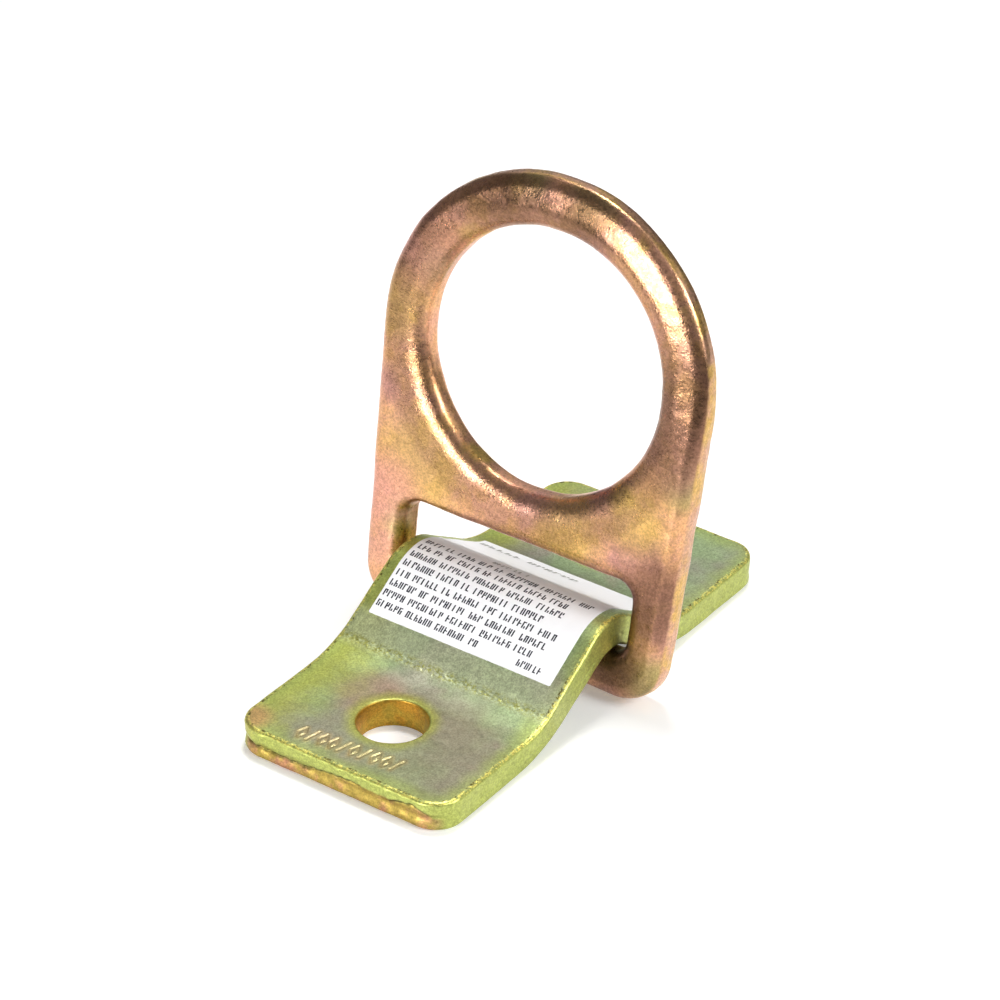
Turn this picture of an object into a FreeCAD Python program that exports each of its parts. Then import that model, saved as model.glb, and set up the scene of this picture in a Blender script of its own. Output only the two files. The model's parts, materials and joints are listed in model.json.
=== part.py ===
"""Bolt-on roof anchor: a bent anchor plate, the D-ring that its hump holds down, and a label.

Frame: +Z up, origin on the resting plane under the middle of the hump. The plate runs along Y
and the bar of the D-ring runs along X under the hump. Millimetres and degrees.
"""
import FreeCAD, Part
import math
import os
import Sketcher

DIMENSIONS = [
    # anchor plate: 2 x 1/4 inch flat bar
    ("plate_width", 50.8),
    ("plate_thick", 6.35),
    ("plate_length", 112.7),
    ("plate_corner_radius", 6.3),
    ("plate_edge_round", 0.7),
    ("crest_height", 12.6),          # underside of the hump above the feet
    ("slope_angle", 31.2),           # of the hump's two flanks
    ("crest_bend_radius", 5.9),      # inside of the bend, so on the underside
    ("foot_bend_radius", 20.6),      # inside of the bend, so on the top side
    ("bolt_spacing", 76.2),
    ("bolt_hole_diameter", 14.3),    # 9/16 inch, for a 1/2 inch bolt
    # D-ring: a flat forging
    ("ring_thick", 7.9),
    ("ring_arc_radius", 38.0),
    ("ring_arc_height", 58.7),       # its centre above the bar's centre
    ("ring_foot_half_width", 36.1),
    ("ring_corner_radius", 9.6),
    ("ring_edge_round", 3.0),
    ("eye_radius", 27.4),
    ("eye_edge_round", 3.3),
    ("eye_height", 58.7),            # eye's centre above the bar's centre
    ("bar_height", 9.0),
    ("bar_edge_round", 3.0),
    ("slot_width", 54.9),
    ("slot_height", 15.8),
    ("slot_corner_radius", 3.6),
    ("ring_lean", 10.0),             # back towards +Y at rest
    ("bar_offset_y", 3.0),           # the loose bar lies against the rear flank
    ("bar_centre_z", 5.5),
    # label: one adhesive sheet
    ("label_thick", 0.2),
    ("label_width", 44.4),
    ("label_front_flank", 11.6),     # how far it lies down the front flank
    ("label_bend_angle", 15.0),      # how far it lies round the rear foot bend
]
TOLERANCE = 1e-3
LEAST_CUT = 1.0                      # mm3 that a pocket takes away at the least

doc = FreeCAD.newDocument("roof_anchor")


def make_sheet():
    sheet = doc.addObject("Spreadsheet::Sheet", "dimensions")
    for row, (alias, value) in enumerate(DIMENSIONS, start=1):
        sheet.set("A%d" % row, alias)
        sheet.set("B%d" % row, str(value))
        sheet.setAlias("B%d" % row, alias)
    doc.recompute()
    return sheet


sheet = make_sheet()


def size(alias):
    return float(getattr(sheet, alias))


def bind(thing, path, expression):
    """Binds a property or a sketch constraint to the sheet; names in [] are its aliases."""
    thing.setExpression(path, expression.replace("[", "dimensions.").replace("]", ""))


def near(value, target):
    return abs(value - target) < TOLERANCE


def point(x, y):
    return FreeCAD.Vector(x, y, 0)


def make_body(name, label):
    body = doc.addObject("PartDesign::Body", name)
    body.Label = label
    return body


def origin_plane(body, role):
    return next(feature for feature in body.Origin.OriginFeatures if feature.Role == role)


def make_sketch(body, name, plane_role):
    sketch = body.newObject("Sketcher::SketchObject", name)
    sketch.AttachmentSupport = [(origin_plane(body, plane_role), "")]
    sketch.MapMode = "FlatFace"
    return sketch


def constrain(sketch, name, expression, *arguments):
    """Adds a named driving dimension and binds it to the sheet."""
    index = sketch.addConstraint(Sketcher.Constraint(*arguments))
    sketch.renameConstraint(index, name)
    bind(sketch, "Constraints." + name, expression)


def line(sketch, start, end):
    return sketch.addGeometry(Part.LineSegment(point(*start), point(*end)))


def arc(sketch, centre, radius, start_angle, end_angle):
    """An arc that runs anticlockwise from its start to its end, both in degrees."""
    circle = Part.Circle(point(*centre), FreeCAD.Vector(0, 0, 1), radius)
    return sketch.addGeometry(
        Part.ArcOfCircle(circle, math.radians(start_angle), math.radians(end_angle)))


START, END, CENTRE = 1, 2, 3
X_AXIS, Y_AXIS = -1, -2
ORIGIN = (-1, 1)


def join(sketch, first, first_end, second, second_end, tangent=False):
    kind = "Tangent" if tangent else "Coincident"
    sketch.addConstraint(Sketcher.Constraint(kind, first, first_end, second, second_end))


def straight(sketch, kind, *lines):
    for item in lines:
        sketch.addConstraint(Sketcher.Constraint(kind, item))


def on_axis(sketch, item, item_point, axis):
    sketch.addConstraint(Sketcher.Constraint("PointOnObject", item, item_point, axis))


def add_feature(body, kind, name, profile):
    feature = body.newObject("PartDesign::" + kind, name)
    feature.Profile = profile
    profile.Visibility = False
    return feature


def pad_both_ways(body, name, profile, expression):
    pad = add_feature(body, "Pad", name, profile)
    pad.SideType = "Symmetric"
    bind(pad, "Length", expression)
    doc.recompute()
    return pad


def pocket_through(body, name, profile):
    """Cuts a profile right through, both ways from its plane, and tests that it did cut."""
    before = body.Shape.Volume
    pocket = add_feature(body, "Pocket", name, profile)
    pocket.Type = "ThroughAll"
    pocket.SideType = "Symmetric"
    doc.recompute()
    if body.Shape.Volume > before - LEAST_CUT:
        raise RuntimeError(name + " cuts nothing")
    return pocket


def round_edges(body, name, expression, wanted):
    """Fillets the edges of the body so far that wanted(edge) picks."""
    base = body.Tip
    picked = ["Edge%d" % n for n, edge in enumerate(base.Shape.Edges, start=1) if wanted(edge)]
    fillet = body.newObject("PartDesign::Fillet", name)
    fillet.Base = (base, picked)
    bind(fillet, "Radius", expression)
    doc.recompute()
    return fillet


def plate_profile(body):
    """Half of the plate's side profile: foot, foot bend, flank and half of the hump's crest."""
    sketch = make_sketch(body, "HalfProfile", "YZ_Plane")
    thick, slope = size("plate_thick"), size("slope_angle")
    end_y = size("plate_length") / 2
    crest_radius, foot_radius = size("crest_bend_radius"), size("foot_bend_radius")
    sine, cosine = math.sin(math.radians(slope)), math.cos(math.radians(slope))
    rise = size("crest_height")
    turn_drop = (crest_radius + foot_radius + thick) * (1 - cosine)
    flank = (rise - turn_drop) / sine
    crest_centre = (0, rise - crest_radius)
    foot_centre = (
        (crest_radius + foot_radius + thick) * sine + flank * cosine,
        foot_radius + thick,
    )

    def crest_point(radius):
        return (crest_centre[0] + radius * sine, crest_centre[1] + radius * cosine)

    def foot_point(radius):
        return (foot_centre[0] - radius * sine, foot_centre[1] - radius * cosine)

    outer_crest, outer_foot = crest_radius + thick, foot_radius + thick
    underside = line(sketch, (foot_centre[0], 0), (end_y, 0))
    end = line(sketch, (end_y, 0), (end_y, thick))
    foot_top = line(sketch, (end_y, thick), (foot_centre[0], thick))
    bend_top = arc(sketch, foot_centre, foot_radius, 270 - slope, 270)
    flank_top = line(sketch, crest_point(outer_crest), foot_point(foot_radius))
    crest_top = arc(sketch, crest_centre, outer_crest, 90 - slope, 90)
    middle = line(sketch, (0, rise + thick), (0, rise))
    crest_under = arc(sketch, crest_centre, crest_radius, 90 - slope, 90)
    flank_under = line(sketch, crest_point(crest_radius), foot_point(outer_foot))
    bend_under = arc(sketch, foot_centre, outer_foot, 270 - slope, 270)

    join(sketch, underside, END, end, START)
    join(sketch, end, END, foot_top, START)
    join(sketch, foot_top, END, bend_top, END, tangent=True)
    join(sketch, bend_top, START, flank_top, END, tangent=True)
    join(sketch, flank_top, START, crest_top, START, tangent=True)
    join(sketch, crest_top, END, middle, START)
    join(sketch, middle, END, crest_under, END)
    join(sketch, crest_under, START, flank_under, START, tangent=True)
    join(sketch, flank_under, END, bend_under, START, tangent=True)
    join(sketch, bend_under, END, underside, START, tangent=True)
    join(sketch, crest_top, CENTRE, crest_under, CENTRE)
    join(sketch, bend_top, CENTRE, bend_under, CENTRE)
    straight(sketch, "Horizontal", underside, foot_top)
    straight(sketch, "Vertical", end)
    on_axis(sketch, underside, END, X_AXIS)
    on_axis(sketch, middle, START, Y_AXIS)
    on_axis(sketch, middle, END, Y_AXIS)
    on_axis(sketch, crest_top, CENTRE, Y_AXIS)

    constrain(sketch, "HalfLength", "[plate_length] / 2",
              "DistanceX", *ORIGIN, underside, END, end_y)
    constrain(sketch, "FootThickness", "[plate_thick]", "Distance", end, thick)
    constrain(sketch, "CrestThickness", "[plate_thick]", "Distance", middle, thick)
    constrain(sketch, "CrestHeight", "[crest_height]", "DistanceY", *ORIGIN, middle, END, rise)
    constrain(sketch, "CrestBend", "[crest_bend_radius]", "Radius", crest_under, crest_radius)
    constrain(sketch, "FootBend", "[foot_bend_radius]", "Radius", bend_top, foot_radius)
    constrain(sketch, "Slope", "-[slope_angle] * 1 deg", "Angle", flank_under,
              -math.radians(slope))
    return sketch


def bolt_hole_sketch(body):
    """One circle in the middle of each foot."""
    sketch = make_sketch(body, "BoltHoles", "XY_Plane")
    radius, offset = size("bolt_hole_diameter") / 2, size("bolt_spacing") / 2
    for name, side in (("Front", -1), ("Rear", 1)):
        circle = sketch.addGeometry(
            Part.Circle(point(0, side * offset), FreeCAD.Vector(0, 0, 1), radius))
        on_axis(sketch, circle, CENTRE, Y_AXIS)
        constrain(sketch, name + "Radius", "[bolt_hole_diameter] / 2", "Radius", circle, radius)
        constrain(sketch, name + "Offset", "%d * [bolt_spacing] / 2" % side,
                  "DistanceY", *ORIGIN, circle, CENTRE, side * offset)
    return sketch


def is_plate_corner(edge):
    """The short upright edges at the four corners of the feet."""
    middle = edge.CenterOfMass
    return (
        near(edge.BoundBox.ZLength, size("plate_thick"))
        and near(abs(middle.x), size("plate_width") / 2)
        and near(abs(middle.y), size("plate_length") / 2)
    )


def is_plate_rim(edge):
    """The edges that run all round the plate, on its top side and on its underside."""
    middle, box = edge.CenterOfMass, edge.BoundBox
    at_side = abs(middle.x) > size("plate_width") / 2 - size("plate_corner_radius")
    at_end = near(abs(middle.y), size("plate_length") / 2)
    runs_along, runs_across = not near(box.YLength, 0), not near(box.XLength, 0)
    return (at_side and runs_along) or (at_end and runs_across)


def make_plate():
    body = make_body("AnchorPlate", "anchor_plate")
    half = pad_both_ways(body, "Half", plate_profile(body), "[plate_width]")
    mirrored = body.newObject("PartDesign::Mirrored", "BothHalves")
    mirrored.Originals = [half]
    mirrored.MirrorPlane = (origin_plane(body, "XZ_Plane"), [""])
    body.Tip = mirrored
    doc.recompute()
    pocket_through(body, "BoltHolePocket", bolt_hole_sketch(body))
    round_edges(body, "CornerRounds", "[plate_corner_radius]", is_plate_corner)
    round_edges(body, "RimRounds", "[plate_edge_round]", is_plate_rim)
    return body


def ring_outline(body):
    """Round top, sides that taper a little, and a straight foot with round corners."""
    sketch = make_sketch(body, "Outline", "XZ_Plane")
    top_radius, corner_radius = size("ring_arc_radius"), size("ring_corner_radius")
    top_height = size("ring_arc_height")
    corner_x = size("ring_foot_half_width") - corner_radius
    foot = -size("bar_height") / 2
    corner_z = foot + corner_radius
    span = math.hypot(corner_x, top_height - corner_z)
    tangent = math.degrees(
        math.atan2(top_height - corner_z, -corner_x)
        - math.acos((corner_radius - top_radius) / span))

    def on_circle(side, centre_x, centre_z, radius):
        angle = math.radians(tangent)
        return (side * (centre_x + radius * math.cos(angle)), centre_z + radius * math.sin(angle))

    top = arc(sketch, (0, top_height), top_radius, tangent, 180 - tangent)
    left_side = line(sketch, on_circle(-1, 0, top_height, top_radius),
                     on_circle(-1, corner_x, corner_z, corner_radius))
    left_corner = arc(sketch, (-corner_x, corner_z), corner_radius, 180 - tangent, 270)
    bottom = line(sketch, (-corner_x, foot), (corner_x, foot))
    right_corner = arc(sketch, (corner_x, corner_z), corner_radius, 270, 360 + tangent)
    right_side = line(sketch, on_circle(1, corner_x, corner_z, corner_radius),
                      on_circle(1, 0, top_height, top_radius))

    join(sketch, top, END, left_side, START, tangent=True)
    join(sketch, left_side, END, left_corner, START, tangent=True)
    join(sketch, left_corner, END, bottom, START, tangent=True)
    join(sketch, bottom, END, right_corner, START, tangent=True)
    join(sketch, right_corner, END, right_side, START, tangent=True)
    join(sketch, right_side, END, top, START, tangent=True)
    straight(sketch, "Horizontal", bottom)
    on_axis(sketch, top, CENTRE, Y_AXIS)
    sketch.addConstraint(Sketcher.Constraint("Equal", left_corner, right_corner))

    constrain(sketch, "TopRadius", "[ring_arc_radius]", "Radius", top, top_radius)
    constrain(sketch, "TopHeight", "[ring_arc_height]",
              "DistanceY", *ORIGIN, top, CENTRE, top_height)
    constrain(sketch, "CornerRadius", "[ring_corner_radius]", "Radius", left_corner, corner_radius)
    constrain(sketch, "Foot", "-[bar_height] / 2", "DistanceY", *ORIGIN, bottom, END, foot)
    for name, corner, side in (("Left", left_corner, -1), ("Right", right_corner, 1)):
        constrain(sketch, name + "CornerX",
                  "%d * ([ring_foot_half_width] - [ring_corner_radius])" % side,
                  "DistanceX", *ORIGIN, corner, CENTRE, side * corner_x)
    return sketch


def eye_sketch(body):
    sketch = make_sketch(body, "Eye", "XZ_Plane")
    radius, height = size("eye_radius"), size("eye_height")
    circle = sketch.addGeometry(Part.Circle(point(0, height), FreeCAD.Vector(0, 0, 1), radius))
    on_axis(sketch, circle, CENTRE, Y_AXIS)
    constrain(sketch, "Radius", "[eye_radius]", "Radius", circle, radius)
    constrain(sketch, "Height", "[eye_height]", "DistanceY", *ORIGIN, circle, CENTRE, height)
    return sketch


def slot_sketch(body):
    """A rectangle with round corners, from the bar's top side upwards."""
    sketch = make_sketch(body, "Slot", "XZ_Plane")
    radius = size("slot_corner_radius")
    half_width = size("slot_width") / 2
    low = size("bar_height") / 2
    high = low + size("slot_height")
    corners = []
    for side_x, side_z, start in ((1, 1, 0), (-1, 1, 90), (-1, -1, 180), (1, -1, 270)):
        centre = (
            side_x * (half_width - radius),
            high - radius if side_z > 0 else low + radius,
        )
        corners.append(arc(sketch, centre, radius, start, start + 90))
    sides = []
    for corner, following in zip(corners, corners[1:] + corners[:1]):
        first = sketch.getPoint(corner, END)
        last = sketch.getPoint(following, START)
        sides.append(line(sketch, (first.x, first.y), (last.x, last.y)))
    for corner, side, following in zip(corners, sides, corners[1:] + corners[:1]):
        join(sketch, corner, END, side, START, tangent=True)
        join(sketch, side, END, following, START, tangent=True)
    for corner in corners[1:]:
        sketch.addConstraint(Sketcher.Constraint("Equal", corners[0], corner))
    top, left, bottom, right = sides
    straight(sketch, "Horizontal", top, bottom)
    straight(sketch, "Vertical", left, right)
    constrain(sketch, "CornerRadius", "[slot_corner_radius]", "Radius", corners[0], radius)
    constrain(sketch, "Left", "-[slot_width] / 2", "DistanceX", *ORIGIN, left, START, -half_width)
    constrain(sketch, "Right", "[slot_width] / 2", "DistanceX", *ORIGIN, right, START, half_width)
    constrain(sketch, "BarTop", "[bar_height] / 2", "DistanceY", *ORIGIN, bottom, START, low)
    constrain(sketch, "SlotTop", "[bar_height] / 2 + [slot_height]",
              "DistanceY", *ORIGIN, top, START, high)
    return sketch


def on_ring_face(edge):
    """True for an edge in the front or rear face of the flat ring."""
    flat = near(edge.BoundBox.YLength, 0)
    return flat and near(abs(edge.CenterOfMass.y), size("ring_thick") / 2)


def is_eye_rim(edge):
    is_arc = edge.Curve.TypeId == "Part::GeomCircle"
    return on_ring_face(edge) and is_arc and near(edge.Curve.Radius, size("eye_radius"))


def is_slot_rim(edge):
    middle = edge.CenterOfMass
    low = size("bar_height") / 2
    high = low + size("slot_height")
    between_sides = abs(middle.x) < size("slot_width") / 2 + TOLERANCE
    between_ends = low - TOLERANCE < middle.z < high + TOLERANCE
    return on_ring_face(edge) and between_sides and between_ends


def is_outer_rim(edge):
    return on_ring_face(edge) and not is_eye_rim(edge) and not is_slot_rim(edge)


def make_ring():
    """The D-ring in its own frame: the bar's centre line is its X axis and the eye is above it."""
    body = make_body("DRing", "d_ring")
    pad_both_ways(body, "Blank", ring_outline(body), "[ring_thick]")
    pocket_through(body, "EyePocket", eye_sketch(body))
    pocket_through(body, "SlotPocket", slot_sketch(body))
    round_edges(body, "OuterRounds", "[ring_edge_round]", is_outer_rim)
    round_edges(body, "EyeRounds", "[eye_edge_round]", is_eye_rim)
    round_edges(body, "SlotRounds", "[bar_edge_round]", is_slot_rim)
    body.Placement = FreeCAD.Placement(
        FreeCAD.Vector(0, size("bar_offset_y"), size("bar_centre_z")),
        FreeCAD.Rotation(FreeCAD.Vector(1, 0, 0), -size("ring_lean")))
    bind(body, "Placement.Base.y", "[bar_offset_y]")
    bind(body, "Placement.Base.z", "[bar_centre_z]")
    bind(body, "Placement.Rotation.Angle", "-[ring_lean] * 1 deg")
    doc.recompute()
    return body


def label_profile(body):
    """The label's section: it lies on the front flank, the crest, the rear flank and its bend."""
    sketch = make_sketch(body, "Section", "YZ_Plane")
    plate_thick, thick = size("plate_thick"), size("label_thick")
    slope = size("slope_angle")
    sine, cosine = math.sin(math.radians(slope)), math.cos(math.radians(slope))
    rise = size("crest_height")
    crest_radius = size("crest_bend_radius") + plate_thick
    foot_radius = size("foot_bend_radius")
    flank = (rise - (crest_radius + foot_radius) * (1 - cosine)) / sine
    crest_centre = (0, rise + plate_thick - crest_radius)
    foot_centre = ((crest_radius + foot_radius) * sine + flank * cosine, foot_radius + plate_thick)
    front = size("label_front_flank")
    bend = size("label_bend_angle")

    def front_point(radius):
        return (-radius * sine - front * cosine,
                crest_centre[1] + radius * cosine - front * sine)

    def crest_point(radius, side):
        return (side * radius * sine, crest_centre[1] + radius * cosine)

    def bend_point(radius, angle):
        turned = math.radians(angle)
        return (foot_centre[0] - radius * math.sin(turned),
                foot_centre[1] - radius * math.cos(turned))

    outer_crest, inner_foot = crest_radius + thick, foot_radius - thick
    under_front = line(sketch, front_point(crest_radius), crest_point(crest_radius, -1))
    under_crest = arc(sketch, crest_centre, crest_radius, 90 - slope, 90 + slope)
    under_rear = line(sketch, crest_point(crest_radius, 1), bend_point(foot_radius, slope))
    under_bend = arc(sketch, foot_centre, foot_radius, 270 - slope, 270 - slope + bend)
    rear_end = line(sketch, bend_point(foot_radius, slope - bend),
                    bend_point(inner_foot, slope - bend))
    over_bend = arc(sketch, foot_centre, inner_foot, 270 - slope, 270 - slope + bend)
    over_rear = line(sketch, bend_point(inner_foot, slope), crest_point(outer_crest, 1))
    over_crest = arc(sketch, crest_centre, outer_crest, 90 - slope, 90 + slope)
    over_front = line(sketch, crest_point(outer_crest, -1), front_point(outer_crest))
    front_end = line(sketch, front_point(outer_crest), front_point(crest_radius))

    join(sketch, front_end, END, under_front, START)
    join(sketch, under_front, END, under_crest, END, tangent=True)
    join(sketch, under_crest, START, under_rear, START, tangent=True)
    join(sketch, under_rear, END, under_bend, START, tangent=True)
    join(sketch, under_bend, END, rear_end, START)
    join(sketch, rear_end, END, over_bend, END)
    join(sketch, over_bend, START, over_rear, START, tangent=True)
    join(sketch, over_rear, END, over_crest, START, tangent=True)
    join(sketch, over_crest, END, over_front, START, tangent=True)
    join(sketch, over_front, END, front_end, START)
    join(sketch, under_crest, CENTRE, over_crest, CENTRE)
    join(sketch, under_bend, CENTRE, over_bend, CENTRE)
    on_axis(sketch, under_crest, CENTRE, Y_AXIS)
    sketch.addConstraint(Sketcher.Constraint("Perpendicular", front_end, under_front))
    sketch.addConstraint(Sketcher.Constraint("PointOnObject", under_bend, CENTRE, rear_end))

    constrain(sketch, "CrestCentre", "[crest_height] - [crest_bend_radius]",
              "DistanceY", *ORIGIN, under_crest, CENTRE, crest_centre[1])
    constrain(sketch, "CrestRadius", "[crest_bend_radius] + [plate_thick]",
              "Radius", under_crest, crest_radius)
    constrain(sketch, "BendRadius", "[foot_bend_radius]", "Radius", under_bend, foot_radius)
    constrain(sketch, "BendCentre", "[foot_bend_radius] + [plate_thick]",
              "DistanceY", *ORIGIN, under_bend, CENTRE, foot_centre[1])
    constrain(sketch, "Thickness", "[label_thick]", "Distance", front_end, thick)
    constrain(sketch, "FrontFlank", "[label_front_flank]", "Distance", under_front, front)
    constrain(sketch, "RearSlope", "-[slope_angle] * 1 deg", "Angle", under_rear,
              -math.radians(slope))
    constrain(sketch, "FrontSlope", "[slope_angle] * 1 deg", "Angle", under_front,
              math.radians(slope))
    constrain(sketch, "Bend", "[label_bend_angle] * 1 deg", "Angle", under_bend,
              math.radians(bend))
    return sketch


def make_label():
    body = make_body("Label", "label")
    pad_both_ways(body, "Strip", label_profile(body), "[label_width]")
    return body


def is_sound(item):
    return not any(flag in item.State for flag in ("Invalid", "Error"))


def export(bodies):
    """Tests every object and every body, then writes one STEP file for each body."""
    doc.recompute()
    failed = [item.Name for item in doc.Objects if not is_sound(item)]
    if failed:
        raise RuntimeError("failed objects: " + ", ".join(failed))
    for body in bodies:
        shape = body.Shape
        if shape.isNull() or not shape.isValid() or len(shape.Solids) != 1:
            raise RuntimeError("bad shape: " + body.Label)
    os.makedirs("parts", exist_ok=True)
    for body in bodies:
        body.Shape.exportStep("parts/%s.step" % body.Label)
        print(body.Label, "%.0f mm3" % body.Shape.Volume, body.Shape.BoundBox)


export([make_plate(), make_ring(), make_label()])
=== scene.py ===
import json
import math

import bpy
import numpy as np
from mathutils import Matrix, Vector
from mathutils.geometry import delaunay_2d_cdt


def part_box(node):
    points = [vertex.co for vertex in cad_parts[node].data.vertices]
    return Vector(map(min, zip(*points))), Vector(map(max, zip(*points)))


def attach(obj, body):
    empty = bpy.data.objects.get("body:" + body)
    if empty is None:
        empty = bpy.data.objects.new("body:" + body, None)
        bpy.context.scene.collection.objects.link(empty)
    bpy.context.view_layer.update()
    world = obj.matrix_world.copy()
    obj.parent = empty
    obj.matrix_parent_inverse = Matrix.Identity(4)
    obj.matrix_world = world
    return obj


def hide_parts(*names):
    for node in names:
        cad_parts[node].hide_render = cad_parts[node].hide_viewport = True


# Looks of a bolt-on roof anchor: a bent, zinc-plated steel plate, the forged D-ring under its
# hump, and a label with generic printing. Sizes are millimetres and degrees, and each mesh is
# turned into the frame's metres as it is made.
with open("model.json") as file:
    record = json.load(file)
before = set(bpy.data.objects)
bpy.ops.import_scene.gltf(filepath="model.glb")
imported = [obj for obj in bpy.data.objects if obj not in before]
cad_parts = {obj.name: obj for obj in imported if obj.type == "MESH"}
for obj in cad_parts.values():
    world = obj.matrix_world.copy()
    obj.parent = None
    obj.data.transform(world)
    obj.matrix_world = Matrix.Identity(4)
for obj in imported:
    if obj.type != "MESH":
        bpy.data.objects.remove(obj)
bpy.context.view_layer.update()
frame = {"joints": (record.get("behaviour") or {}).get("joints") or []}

MM = 0.001
plate_high = np.array(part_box("anchor_plate")[1]) / MM
HINGE = np.array(frame["joints"][0]["pos_m"]) / MM

# plate: flat bar, cut to length and bent, as in the CAD part
PLATE_THICK = 6.35
PLATE_HALF_WIDTH = plate_high[0]
CREST_HEIGHT = plate_high[2] - PLATE_THICK
SLOPE = math.radians(31.2)
CREST_BEND = 5.9 + PLATE_THICK / 2
FOOT_BEND = 20.6 + PLATE_THICK / 2
CORNER_RADIUS = 6.3
BOLT_SPACING = 76.2
HOLE_RADIUS = 7.15
HALF_THICK = PLATE_THICK / 2
PLATE_ROUND = (0.85, 0.75)          # inset and depth of the rounded long edges and ends
HOLE_ROUND = (0.6, 0.45)            # the same at the top of a hole
HOLE_BURR_ROUND = 0.35              # and at its bottom

# D-ring, in its own frame: across, up from the middle of the bar, and out of its front face
RING_THICK = 7.9
RING_LEAN = math.radians(10.0)
RING_TOP_RADIUS = 38.0
EYE_HEIGHT = 58.7
EYE_RADIUS = 27.4
RING_FOOT_HALF_WIDTH = 36.1
RING_CORNER_RADIUS = 9.6
BAR_HEIGHT = 9.0
SLOT_WIDTH = 54.9
SLOT_HEIGHT = 15.8
SLOT_CORNER_RADIUS = 3.6
OUTER_ROUND = (3.0, 2.95)           # inset and depth of the ring's outer rounding
EYE_ROUND = (5.0, 3.25)             # the same round the eye
SLOT_ROUND = 2.9                    # and round the slot
CROWN_DROP = 1.45                   # the arc's faces fall away towards the outside by this much
FORGED = [(11.0, 0.07, 31), (4.2, 0.03, 32), (1.7, 0.012, 33)]

# label, measured along the plate's top side from the middle of the crest, plus towards the rear
LABEL_LEFT, LABEL_RIGHT = -22.3, 21.9
LABEL_FRONT, LABEL_REAR = -18.25, 26.9
LABEL_THICK = 0.14
LABEL_CORNER = 0.35


# ---------------------------------------------------------------- outlines
def arc_start(centre, radius, angle):
    turned = math.radians(angle)
    return np.array(centre) + radius * np.array([math.cos(turned), math.sin(turned)])


def outline(arcs, step):
    """Points and outward normals of a closed convex line: arcs, anticlockwise, joined by tangents."""
    points, normals = [], []
    for (centre, radius, first, last), following in zip(arcs, arcs[1:] + arcs[:1]):
        sweep = math.radians(last - first)
        angles = math.radians(first) + np.linspace(0, sweep, max(4, round(radius * sweep / step)) + 1)
        spokes = np.column_stack([np.cos(angles), np.sin(angles)])
        rim = np.array(centre) + radius * spokes
        goal = arc_start(following[0], following[1], following[2])
        count = round(np.linalg.norm(goal - rim[-1]) / step)
        between = [rim[-1] + (goal - rim[-1]) * share for share in np.arange(1, count) / max(count, 1)]
        closes = np.linalg.norm(goal - rim[-1]) < step / 2
        points += [*rim[:-1], *([] if closes else [rim[-1]]), *between]
        normals += [*spokes[:-1], *([] if closes else [spokes[-1]]), *[spokes[-1]] * len(between)]
    return np.array(points), np.array(normals)


def rectangle(left, right, low, high, radius, step):
    arcs = [
        ((right - radius, low + radius), radius, 270, 360),
        ((right - radius, high - radius), radius, 0, 90),
        ((left + radius, high - radius), radius, 90, 180),
        ((left + radius, low + radius), radius, 180, 270),
    ]
    return outline(arcs, step)


def circle(centre, radius, step):
    return outline([(centre, radius, 0, 360)], step)


def beyond(points, loop):
    """How far points lie outside a closed convex loop; less than 0 inside it."""
    rim, normals = loop
    return (points @ normals.T - np.sum(rim * normals, axis=1)).max(axis=1)


def waves(points, size, seed, count=28):
    """Smooth seeded unevenness between about -1 and 1, with bumps of roughly the given size."""
    random = np.random.default_rng(seed)
    directions = random.normal(size=(count, points.shape[1]))
    directions /= np.linalg.norm(directions, axis=1)[:, None]
    pitch = 2 * math.pi / (size * random.uniform(0.8, 2.2, count))
    phase = random.uniform(0, 2 * math.pi, count)
    return np.cos(points @ (directions * pitch[:, None]).T + phase).sum(axis=1) / math.sqrt(count)


def unevenness(points, scales):
    """Adds up waves; scales are (size, height, seed)."""
    return sum(height * waves(points, size, seed) for size, height, seed in scales)


def bell(values, width):
    return np.exp(-((values / width) ** 2))


def ramp(values, low, high):
    share = np.clip((values - low) / (high - low), 0, 1)
    return share * share * (3 - 2 * share)


# ---------------------------------------------------------------- meshes
class Surface:
    """Vertices and faces of one piece, gathered part by part."""

    def __init__(self):
        self.vertices = []
        self.faces = []
        self.count = 0

    def add(self, points):
        self.vertices.append(np.asarray(points, float))
        self.count += len(points)
        return np.arange(self.count - len(points), self.count)

    def wall(self, loop, profile, hole=False):
        """Sweeps a profile of (inset, height) round a loop; returns the index rows, first to last."""
        rim, normals = loop
        side = 1 if hole else -1
        rows = [
            self.add(np.column_stack([rim + side * inset * normals, np.full(len(rim), height)]))
            for inset, height in profile
        ]
        for upper, lower in zip(rows, rows[1:]):
            ahead_upper, ahead_lower = np.roll(upper, -1), np.roll(lower, -1)
            around = (upper, lower, ahead_lower, ahead_upper)
            if hole:
                around = around[::-1]
            self.faces += np.column_stack(around).tolist()
        return rows

    def cap(self, borders, inner, height, down=False):
        """Fills the flat between border rows with triangles through the inner points."""
        known = np.vstack(self.vertices)
        indices = np.concatenate([*borders, self.add(np.column_stack([inner, np.full(len(inner), height)]))])
        flat = np.vstack([known[np.concatenate(borders)][:, :2], inner])
        edges, start = [], 0
        for border in borders:
            turn = np.arange(start, start + len(border))
            edges += np.column_stack([turn, np.roll(turn, -1)]).tolist()
            start += len(border)
        made = delaunay_2d_cdt([Vector(p) for p in flat], edges, [], 1, 1e-5)
        corners = np.array([found[0] for found in made[3]])
        triangles = corners[np.array(made[2])]
        middles = flat[triangles].mean(axis=1)
        keep = np.ones(len(triangles), bool)
        for border in borders[1:]:
            ring = known[border][:, :2]
            along = np.roll(ring, -1, axis=0) - ring
            outward = np.column_stack([along[:, 1], -along[:, 0]])
            outward /= np.linalg.norm(outward, axis=1)[:, None]
            keep &= beyond(middles, (ring, outward)) > 0
        triangles = indices[triangles[keep]]
        self.faces += (triangles[:, ::-1] if down else triangles).tolist()

    def points(self):
        return np.vstack(self.vertices)


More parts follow.
